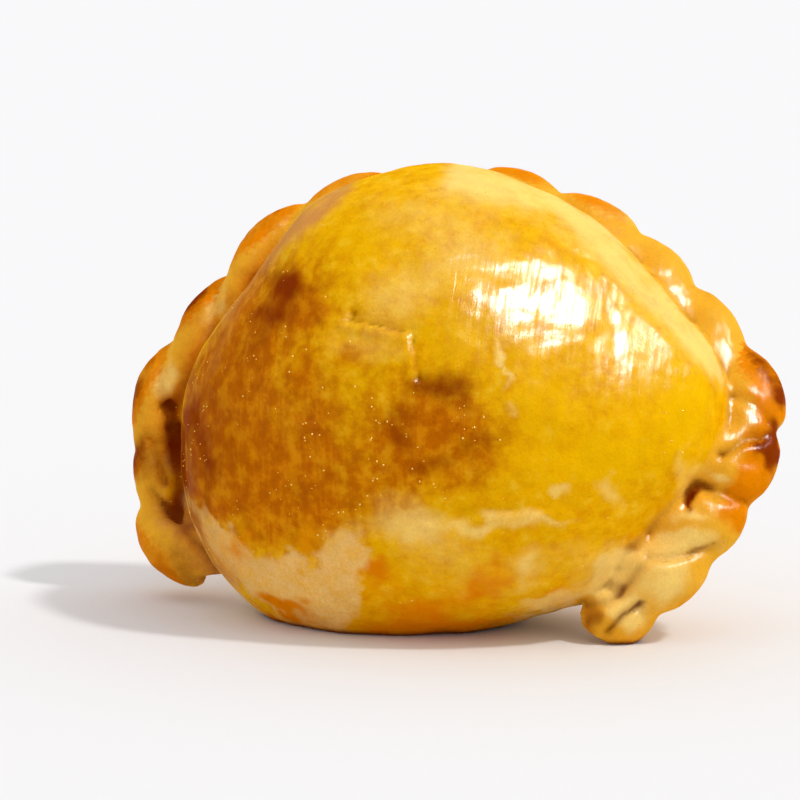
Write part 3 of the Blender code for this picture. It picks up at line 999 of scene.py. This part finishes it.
def browning(surface):
    """Every layer's amount at each point."""
    points = surface.points
    normals = surface.normals()
    across, up = seen(points)
    facing = -(normals @ np.array(view_away))
    front = step(facing, -0.05, 0.25)
    hollow = cavity(surface)
    # Points in hollows get painted shade, darker the deeper they lie.
    painted_valley_shade = step(hollow, 0.10, 0.60)
    mark_across = across + MARK_WARP * waves(points, MARK_WARP_SIZE, 3, 21.0)
    mark_up = up + MARK_WARP * waves(points, MARK_WARP_SIZE, 3, 33.0)
    mottle = waves(points, 7.0 * MM, 4, 2.0)
    blotch = waves(points, 16.0 * MM, 3, 9.0)
    on_rope, crown = ask_pleats(points)
    back = step(normals[:, 1], 0.15, 0.55) * step(points[:, 1], 9.0 * MM, 17.0 * MM)
    # The left rim band is painted pale pinkish tan: partly thin wash, partly painted sheen. The BLUSHED ovals
    # are the dough's own tan on the lower left pleats.
    left_distance, _ = polyline_distance(across, up, LEFT_RIM)
    blush_and_sheen = np.exp(-((left_distance / LEFT_RIM_WIDTH) ** 2)) * (1 - on_rope) * front
    blush_and_sheen = np.maximum(blush_and_sheen, ovals(across, up, BLUSHED) * front)
    # The right rim band is painted cream: partly thin wash, partly painted sheen.
    right_distance, _ = polyline_distance(across, up, RIGHT_RIM)
    cream_and_sheen = np.exp(-((right_distance / RIGHT_RIM_WIDTH) ** 2)) * (1 - on_rope) * front
    bare = np.clip(ovals(mark_across, mark_up, BARE) * front + 0.20 * mottle * front, 0, 1)
    washed = front * (1 - bare) * (1 - 0.5 * blush_and_sheen) * (1 - 0.4 * cream_and_sheen) * (1 - 0.25 * on_rope)
    wash = np.clip(washed - back, 0, 1)
    low = step(TOASTED_BELOW - points[:, 2], -1.5 * MM, 2.5 * MM)
    amber = np.clip(ovals(mark_across, mark_up, AMBER) * front + 0.22 * blotch + 0.10 * mottle, 0, 1)
    scorched_and_shaded = ovals(mark_across, mark_up, SCORCHED_AND_SHADED) * front * (1 + 0.4 * mottle)
    scorched_and_shaded += step(crown, 0.45, 1.0) * (0.50 + 0.5 * mottle)
    scorched_and_shaded += back * (1 - on_rope) * step(blotch + 0.6 * mottle, 0.15, 0.75) * 0.8
    # The lowest 1.6 mm of the sole is darkened: partly browning on the tray, partly painted contact shade.
    scorched_and_shaded += 0.7 * step(1.6 * MM - points[:, 2], 0.0, 1.6 * MM)
    orange = ovals(mark_across, mark_up, ORANGE) * front * (1 + 0.6 * mottle)
    orange += 0.35 * low * front + step(crown, 0.10, 0.55) * (0.85 + 0.4 * mottle)
    # Pale patches and the right rim band, some of them painted sheen.
    pale_and_sheen = ovals(mark_across, mark_up, PALE_AND_SHEEN_PATCHES) * front + cream_and_sheen * (0.8 + 0.5 * mottle)
    vivid = ovals(mark_across, mark_up, VIVID) * front + 0.3 * blotch
    return {
        "wash": wash,
        "amber": amber,
        "scorched_and_shaded": scorched_and_shaded,
        "orange": orange,
        "pale_and_sheen": pale_and_sheen,
        "blush_and_sheen": blush_and_sheen * (0.8 + 0.5 * mottle),
        "vivid": vivid,
        "painted_valley_shade": np.clip(painted_valley_shade + fold_shade(across, up) * front, 0, 1),
        "toasted": np.clip(back * (0.45 + 0.3 * blotch) + step(0.8 * MM - points[:, 2], 0, 0.8 * MM), 0, 1),
        "rope": on_rope * (1 - 0.8 * back),
        "gloss": GLOSS_ELSEWHERE + (1 - GLOSS_ELSEWHERE) * ovals(across, up, GLOSSY) * front,
    }


# %% [markdown]
# The rope has its own baking: the crown of every pleat browned first. The pleats knew where their crowns are
# before they were fused, so each point of the skin asks the nearest pleat point. That works from every side.

# %% Ask the pleats
PLEAT_NEAR = 0.6 * MM
PLEAT_FAR = 2.2 * MM


def ask_pleats(points):
    """How much each point is on a pleat, and how browned the pleat's crown is there."""
    on_rope = np.zeros(len(points))
    crown = np.zeros(len(points))
    for i, point in enumerate(points):
        _, index, distance = pleat_tree.find(point)
        on_rope[i] = distance
        crown[i] = pleat_crowns[index]
    on_rope = 1 - step(on_rope, PLEAT_NEAR, PLEAT_FAR)
    return on_rope, crown * on_rope


for layer_name, amounts in browning(skin).items():
    store_values(crust, layer_name, np.clip(amounts, 0, 1).astype(np.float32))
crust.data.transform(Matrix.Translation(middle))
crust.data.shade_smooth()
print("layers:", [layer.name for layer in crust.data.attributes])

# %% [markdown]
# ## The finish of the crust
#
# A baked crust is three things at once: dough that lets a little light in, a thin glossy film of egg, and
# the fine grain of flour and bristle marks. One Principled shader does it. Its colour is a chain of mixes,
# one for each layer stored on the points, and noise frays the rims of those layers. The dough itself is matt.
# The gloss is a coat over it, with its own bumps, and follows the wash.

# %% Colours as they look in daylight
def daylight(red, green, blue):
    """A colour written as 0 to 255, turned to the linear values that shaders use."""
    linear = []
    for value in (red, green, blue):
        share = value / 255
        linear.append(share / 12.92 if share <= 0.04045 else ((share + 0.055) / 1.055) ** 2.4)
    return (*linear, 1.0)


DARK_DOUGH = daylight(240, 180, 76)
PALE_DOUGH = daylight(242, 198, 120)
GOLD = daylight(240, 178, 2)
DEEP_GOLD = daylight(224, 148, 0)
LIGHT_GOLD = daylight(248, 196, 44)
VIVID_YELLOW = daylight(240, 182, 0)
ROPE_GOLD = daylight(240, 174, 44)
AMBER_WASH = daylight(196, 106, 0)
LIGHT_AMBER = daylight(216, 134, 6)
DARK_AMBER = daylight(164, 80, 0)
ORANGE_TOAST = daylight(230, 132, 0)
# Pale dough, which also paints sheen by the highlight and along the right rim.
PALE_GOLD = daylight(252, 210, 112)
# Tan dough, which on the left rim also paints sheen.
BLUSH_AND_SHEEN = daylight(212, 144, 70)
# The colour of scorched crust, which also paints shade at the sole's edge and by the left rope.
SCORCH_AND_SHADE = daylight(136, 50, 0)
# Painted shade: the dark red brown that hollows and fold lines are mixed towards.
VALLEY_SHADE = daylight(110, 30, 0)
TRAY_TOAST = daylight(188, 120, 48)
SPECK = daylight(110, 66, 6)


# %% Helpers for the shader
def mix_colour(tree, factor, first, second):
    """The Mix node has sockets for every kind of value, so those for colours are found by their number."""
    mix = add_node(tree, "ShaderNodeMix", data_type="RGBA")
    for number, value in ((0, factor), (6, first), (7, second)):
        fill(tree, mix.inputs[number], value)
    return mix.outputs[2]


def weighted_sum(tree, first, first_share, second, second_share):
    scaled = math_node(tree, "MULTIPLY", first, first_share)
    return math_node(tree, "ADD", scaled, math_node(tree, "MULTIPLY", second, second_share))


def noise_value(tree, vector, size, detail=3.0, rough=0.55):
    """Noise from 0 to 1, in lumps of a size in metres."""
    made = add_node(tree, "ShaderNodeTexNoise", Vector=vector, Scale=1 / size, Detail=detail, Roughness=rough)
    return made.outputs["Fac"]


def layer_value(tree, name):
    return add_node(tree, "ShaderNodeAttribute", attribute_name=name).outputs["Fac"]


def remap(tree, value, low, high, to_low=0.0, to_high=1.0):
    """Turns low to high into to_low to to_high, with soft ends."""
    made = add_node(
        tree,
        "ShaderNodeMapRange",
        interpolation_type="SMOOTHSTEP",
        Value=value,
        From_Min=low,
        From_Max=high,
        To_Min=to_low,
        To_Max=to_high,
    )
    return made.outputs["Result"]


def frayed(tree, name, fray, amount, low, high):
    """A stored layer with its rim broken up by noise."""
    shift = math_node(tree, "MULTIPLY", math_node(tree, "SUBTRACT", fray, 0.5), amount)
    return remap(tree, math_node(tree, "ADD", layer_value(tree, name), shift), low, high)


# %% The crust's material
GRAIN_SIZE = 0.45 * MM
FRAY_SIZE = 1.6 * MM
BRISTLE_WIDTH = 0.55 * MM
BRISTLE_LENGTH = 9.0 * MM
CLOUD_SIZE = 5.0 * MM
MOTTLE_SIZE = 2.6 * MM
SPECK_SIZE = 0.30 * MM
# The film of egg reflects little of the room, and blurs it. Blisters have a film of their own.
GLAZE_IOR = 1.15
GLAZE_ROUGHNESS = 0.23
BLISTER_GLAZE_ROUGHNESS = 0.25
DOUGH_BUMP = 0.35 * MM
GLAZE_BUMP = 0.16 * MM


def finish_crust(material):
    material.use_nodes = True
    tree = material.node_tree
    shader = tree.nodes["Principled BSDF"]
    place = add_node(tree, "ShaderNodeTexCoord").outputs["Object"]
    fray = noise_value(tree, place, FRAY_SIZE, 5.0, 0.65)
    grain = noise_value(tree, place, GRAIN_SIZE, 4.0, 0.6)
    cloud = noise_value(tree, place, CLOUD_SIZE, 4.0, 0.6)
    mottle = noise_value(tree, place, MOTTLE_SIZE, 4.0, 0.6)
    per_metre = (1 / BRISTLE_WIDTH, 1 / BRISTLE_LENGTH, 1 / BRISTLE_LENGTH)
    stretched = add_node(tree, "ShaderNodeMapping", vector_type="POINT", Vector=place, Scale=per_metre)
    bristle = noise_value(tree, stretched.outputs["Vector"], 1.0, 3.0, 0.6)

    wash = frayed(tree, "wash", fray, 0.7, 0.30, 0.62)
    washed = mix_colour(tree, remap(tree, mottle, 0.42, 0.72, 0.0, 0.75), GOLD, DEEP_GOLD)
    washed = mix_colour(tree, remap(tree, mottle, 0.46, 0.30, 0.0, 0.60), washed, LIGHT_GOLD)
    floury = weighted_sum(tree, grain, 0.4, mottle, 0.6)
    dough = mix_colour(tree, remap(tree, floury, 0.32, 0.68), DARK_DOUGH, PALE_DOUGH)
    colour = mix_colour(tree, wash, dough, washed)
    colour = mix_colour(tree, frayed(tree, "rope", fray, 0.3, 0.1, 0.9), colour, ROPE_GOLD)
    colour = mix_colour(tree, frayed(tree, "vivid", cloud, 1.0, 0.25, 0.95), colour, VIVID_YELLOW)
    # Pale dough, with painted sheen by the highlight and on the right rim.
    colour = mix_colour(tree, frayed(tree, "pale_and_sheen", fray, 0.35, 0.15, 0.95), colour, PALE_GOLD)
    # Painted sheen on the left rim, and the dough's own tan on the lower left pleats.
    colour = mix_colour(tree, frayed(tree, "blush_and_sheen", fray, 0.30, 0.15, 0.95), colour, BLUSH_AND_SHEEN)
    blotchy = weighted_sum(tree, cloud, 0.55, mottle, 0.45)
    amber = frayed(tree, "amber", blotchy, 1.1, 0.10, 0.95)
    amber = math_node(tree, "MULTIPLY", amber, remap(tree, layer_value(tree, "wash"), 0.15, 0.6, 0.25, 1.0))
    streaky = weighted_sum(tree, mottle, 0.8, bristle, 0.2)
    ambers = mix_colour(tree, remap(tree, streaky, 0.36, 0.56), LIGHT_AMBER, AMBER_WASH)
    ambers = mix_colour(tree, remap(tree, streaky, 0.48, 0.72, 0.0, 0.6), ambers, DARK_AMBER)
    colour = mix_colour(tree, amber, colour, ambers)
    colour = mix_colour(tree, frayed(tree, "orange", fray, 0.4, 0.10, 0.95), colour, ORANGE_TOAST)
    colour = mix_colour(tree, frayed(tree, "toasted", cloud, 0.6, 0.15, 0.95), colour, TRAY_TOAST)
    # This mix paints scorch marks, and also painted shade at the sole's edge and by the left rope.
    colour = mix_colour(tree, frayed(tree, "scorched_and_shaded", fray, 0.30, 0.05, 1.00), colour, SCORCH_AND_SHADE)
    # Painted shade: hollows and fold lines are mixed towards a dark red brown.
    painted_valley_shade = math_node(tree, "MULTIPLY", layer_value(tree, "painted_valley_shade"), 0.85)
    colour = mix_colour(tree, painted_valley_shade, colour, VALLEY_SHADE)
    tone = remap(tree, grain, 0.25, 0.75, 0.95, 1.04)
    tone = math_node(tree, "MULTIPLY", tone, remap(tree, cloud, 0.25, 0.75, 0.94, 1.05))
    specks = remap(tree, noise_value(tree, place, SPECK_SIZE, 2.0, 0.5), 0.70, 0.78)
    specks = math_node(tree, "MULTIPLY", specks, 0.6)
    colour = mix_colour(tree, specks, scaled_vector(tree, colour, tone), SPECK)
    tree.links.new(colour, shader.inputs["Base Color"])

    rough = remap(tree, wash, 0.0, 1.0, 0.70, 0.42)
    rough = math_node(tree, "ADD", rough, remap(tree, fray, 0.3, 0.7, -0.05, 0.07))
    tree.links.new(rough, shader.inputs["Roughness"])
    coat = math_node(tree, "MULTIPLY", wash, remap(tree, bristle, 0.35, 0.65, 0.25, 1.0))
    coat = math_node(tree, "MULTIPLY", coat, layer_value(tree, "gloss"))
    coat = math_node(tree, "MULTIPLY", coat, remap(tree, layer_value(tree, "painted_valley_shade"), 0.0, 0.6, 1.0, 0.0))
    tree.links.new(coat, shader.inputs["Coat Weight"])
    shader.inputs["Coat Roughness"].default_value = GLAZE_ROUGHNESS
    shader.inputs["Coat IOR"].default_value = GLAZE_IOR
    shader.inputs["IOR"].default_value = 1.40
    shader.inputs["Specular IOR Level"].default_value = 0.0
    shader.inputs["Subsurface Weight"].default_value = 0.10
    shader.inputs["Subsurface Radius"].default_value = (1.0, 0.50, 0.15)
    shader.inputs["Subsurface Scale"].default_value = 1.4 * MM

    for socket, height, distance in (
        ("Normal", weighted_sum(tree, grain, 0.35, fray, 0.9), DOUGH_BUMP),
        ("Coat Normal", weighted_sum(tree, bristle, 0.5, fray, 0.35), GLAZE_BUMP),
    ):
        bump = add_node(tree, "ShaderNodeBump", Height=height, Strength=0.7, Distance=distance)
        tree.links.new(bump.outputs["Normal"], shader.inputs[socket])


finish_crust(crust_finish)
crust.data.materials.clear()
crust.data.materials.append(crust_finish)
print("nodes in the crust's material:", len(crust_finish.node_tree.nodes))

# %% [markdown]
# ## Blisters in the wash
#
# Steam lifts tiny blisters in the glaze, and each catches the light as a glint. They are scattered over the
# washed dough by Geometry Nodes. They come in clusters where the crust is amber, because a stored layer
# steers the density, and each is squashed its own way. The seed is fixed, so they fall in the same places
# each time.

# %% Scatter the blisters
BLISTER_SMALLEST = 0.05 * MM
BLISTER_LARGEST = 0.22 * MM
BLISTERS_PER_CM2 = 42.0
BLISTER_CLUSTER_SIZE = 5.5 * MM
BLISTER_TINT_SIZE = 6.0 * MM
BLISTER_SEED = 11


def blister_tree():
    tree = new_geometry_tree("scatter_blisters", {
        "Per Square Metre": ("NodeSocketFloat", BLISTERS_PER_CM2 * 10000),
        "Smallest": ("NodeSocketFloat", BLISTER_SMALLEST),
        "Largest": ("NodeSocketFloat", BLISTER_LARGEST),
        "Seed": ("NodeSocketInt", BLISTER_SEED),
        "Material": ("NodeSocketMaterial", None),
    })
    start = add_node(tree, "NodeGroupInput")
    where = read_attribute(tree, "blistered", "FLOAT")
    points = add_node(
        tree,
        "GeometryNodeDistributePointsOnFaces",
        Mesh=start.outputs["Geometry"],
        Density=math_node(tree, "MULTIPLY", where, start.outputs["Per Square Metre"]),
        Seed=start.outputs["Seed"],
    )
    ball = add_node(tree, "GeometryNodeMeshIcoSphere", Radius=1.0, Subdivisions=1)
    size = add_node(tree, "FunctionNodeRandomValue", data_type="FLOAT_VECTOR", Seed=start.outputs["Seed"])
    tree.links.new(start.outputs["Smallest"], size.inputs[0])
    tree.links.new(start.outputs["Largest"], size.inputs[1])
    laid = add_node(
        tree,
        "GeometryNodeInstanceOnPoints",
        Points=points.outputs["Points"],
        Instance=ball.outputs["Mesh"],
        Rotation=points.outputs["Rotation"],
        Scale=size.outputs["Value"],
    )
    real = add_node(tree, "GeometryNodeRealizeInstances", Geometry=laid.outputs["Instances"])
    finish_tree(tree, real.outputs["Geometry"], start.outputs["Material"])
    return tree


def blister_material():
    material = bpy.data.materials.new("blister_glaze")
    material.use_nodes = True
    tree = material.node_tree
    shader = tree.nodes["Principled BSDF"]
    place = add_node(tree, "ShaderNodeTexCoord").outputs["Object"]
    patch = noise_value(tree, place, BLISTER_TINT_SIZE, 2.0)
    tree.links.new(mix_colour(tree, patch, LIGHT_GOLD, PALE_GOLD), shader.inputs["Base Color"])
    shader.inputs["Roughness"].default_value = 0.6
    shader.inputs["Specular IOR Level"].default_value = 0.0
    shader.inputs["Coat Weight"].default_value = 0.5
    shader.inputs["Coat Roughness"].default_value = BLISTER_GLAZE_ROUGHNESS
    shader.inputs["Coat IOR"].default_value = GLAZE_IOR
    return material


def scatter_blisters():
    obj = add_object("blisters", crust.data.copy())
    wash, amber, on_rope = (stored_values(obj, name) for name in ("wash", "amber", "rope"))
    clusters = step(waves(skin.points, BLISTER_CLUSTER_SIZE, 3, 14.0), -0.05, 0.55)
    store_values(obj, "blistered", wash * (0.12 + 0.88 * amber) * (1 - on_rope) * clusters)
    run_geometry_tree(obj, blister_tree(), {
        "Per Square Metre": BLISTERS_PER_CM2 * 10000,
        "Smallest": BLISTER_SMALLEST,
        "Largest": BLISTER_LARGEST,
        "Seed": BLISTER_SEED,
        "Material": blister_material(),
    })
    obj.data.shade_smooth()
    return obj


blisters = scatter_blisters()
print("blister faces:", len(blisters.data.polygons))

# %% [markdown]
# ## A white table and studio light
#
# The photograph is bright and plain: a white sweep, one far lamp high at the right that throws a clear shadow
# to the left, and so much light bounced from all round that the shadow stays pale. The room is darker on the
# camera's side, and the sky is dimmed for reflections, which keeps the glaze from looking milky. The bright
# highlight comes from two soft boxes that only reflections see. They are linked to the glazed pieces alone,
# because the renderer would otherwise waste most of the floor's light samples on them.

# %% Floor, lamp and sky
FLOOR_SIZE = 8.0
FLOOR_DROP = 0.05 * MM
LAMP_DIRECTION = Vector((0.70, -0.12, 1.0)).normalized()
LAMP_STRENGTH = 1.25
LAMP_ANGLE = math.radians(5)
WINDOW_DISTANCE = 0.8
# Each window: direction, width and height in metres, and power in watts.
WINDOWS = (
    (Vector((0.50, -0.47, 0.75)), 0.56, 0.30, 330.0),
    (Vector((0.76, 0.16, 0.64)), 0.46, 0.16, 30.0),
)
SKY_STRENGTH = 0.97
SKY_FRONT_SHARE = 0.70
SKY_IN_GLAZE = 0.12
FLOOR_COLOUR = (0.79, 0.79, 0.79, 1.0)
LAMP_COLOUR = (1.0, 1.0, 0.98)
SKY_COLOUR = (0.98, 0.975, 1.0, 1.0)


def add_floor():
    mesh = bmesh.new()
    bmesh.ops.create_grid(mesh, x_segments=2, y_segments=2, size=FLOOR_SIZE / 2)
    floor = mesh_object("floor", mesh)
    floor.data.transform(Matrix.Translation((0.0, 0.0, crust_low.z - FLOOR_DROP)))
    material = bpy.data.materials.new("white_table")
    material.use_nodes = True
    tree = material.node_tree
    matt = add_node(tree, "ShaderNodeBsdfDiffuse", Color=FLOOR_COLOUR)
    tree.links.new(matt.outputs["BSDF"], tree.nodes["Material Output"].inputs["Surface"])
    tree.nodes.remove(tree.nodes["Principled BSDF"])
    floor.data.materials.append(material)
    return floor


def add_lamp():
    data = bpy.data.lights.new("lamp", "SUN")
    data.angle = LAMP_ANGLE
    data.energy = LAMP_STRENGTH
    data.color = LAMP_COLOUR
    lamp = add_object("lamp", data)
    lamp.rotation_euler = LAMP_DIRECTION.to_track_quat("Z", "Y").to_euler()


def add_window(direction, width, height, power, glazed):
    """A soft box that only shows as a reflection in the glazed pieces."""
    data = bpy.data.lights.new("window", "AREA")
    data.shape = "RECTANGLE"
    data.size = width
    data.size_y = height
    data.energy = power
    window = add_object("window", data)
    window.location = (crust_low + crust_high) / 2 + direction.normalized() * WINDOW_DISTANCE
    window.rotation_euler = direction.to_track_quat("Z", "Y").to_euler()
    window.visible_diffuse = False
    window.light_linking.receiver_collection = glazed


def add_sky():
    """White all round, darker towards the camera's side, and dim as the glaze reflects it."""
    world = bpy.data.worlds.new("sky")
    world.use_nodes = True
    tree = world.node_tree
    background = tree.nodes["Background"]
    background.inputs["Color"].default_value = SKY_COLOUR
    direction = add_node(tree, "ShaderNodeTexCoord").outputs["Generated"]
    parts = add_node(tree, "ShaderNodeSeparateXYZ", Vector=direction)
    frontness = math_node(tree, "MULTIPLY", parts.outputs["Y"], -1.0)
    strength = remap(tree, frontness, -0.1, 0.9, SKY_STRENGTH, SKY_STRENGTH * SKY_FRONT_SHARE)
    in_glaze = add_node(tree, "ShaderNodeLightPath").outputs["Is Glossy Ray"]
    strength = math_node(tree, "MULTIPLY", strength, remap(tree, in_glaze, 0.0, 1.0, 1.0, SKY_IN_GLAZE))
    tree.links.new(strength, background.inputs["Strength"])
    bpy.context.scene.world = world


floor = add_floor()
add_lamp()
glazed_pieces = bpy.data.collections.new("glazed_pieces")
for piece in (crust, blisters):
    glazed_pieces.objects.link(piece)
for window_values in WINDOWS:
    add_window(*window_values, glazed_pieces)
add_sky()
bpy.context.scene.view_settings.view_transform = "Standard"
print("lights:", [light.name for light in bpy.data.lights])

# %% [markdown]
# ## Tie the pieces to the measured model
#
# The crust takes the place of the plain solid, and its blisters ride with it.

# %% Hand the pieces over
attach(crust, "root")
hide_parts("empanada")
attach(blisters, "root")
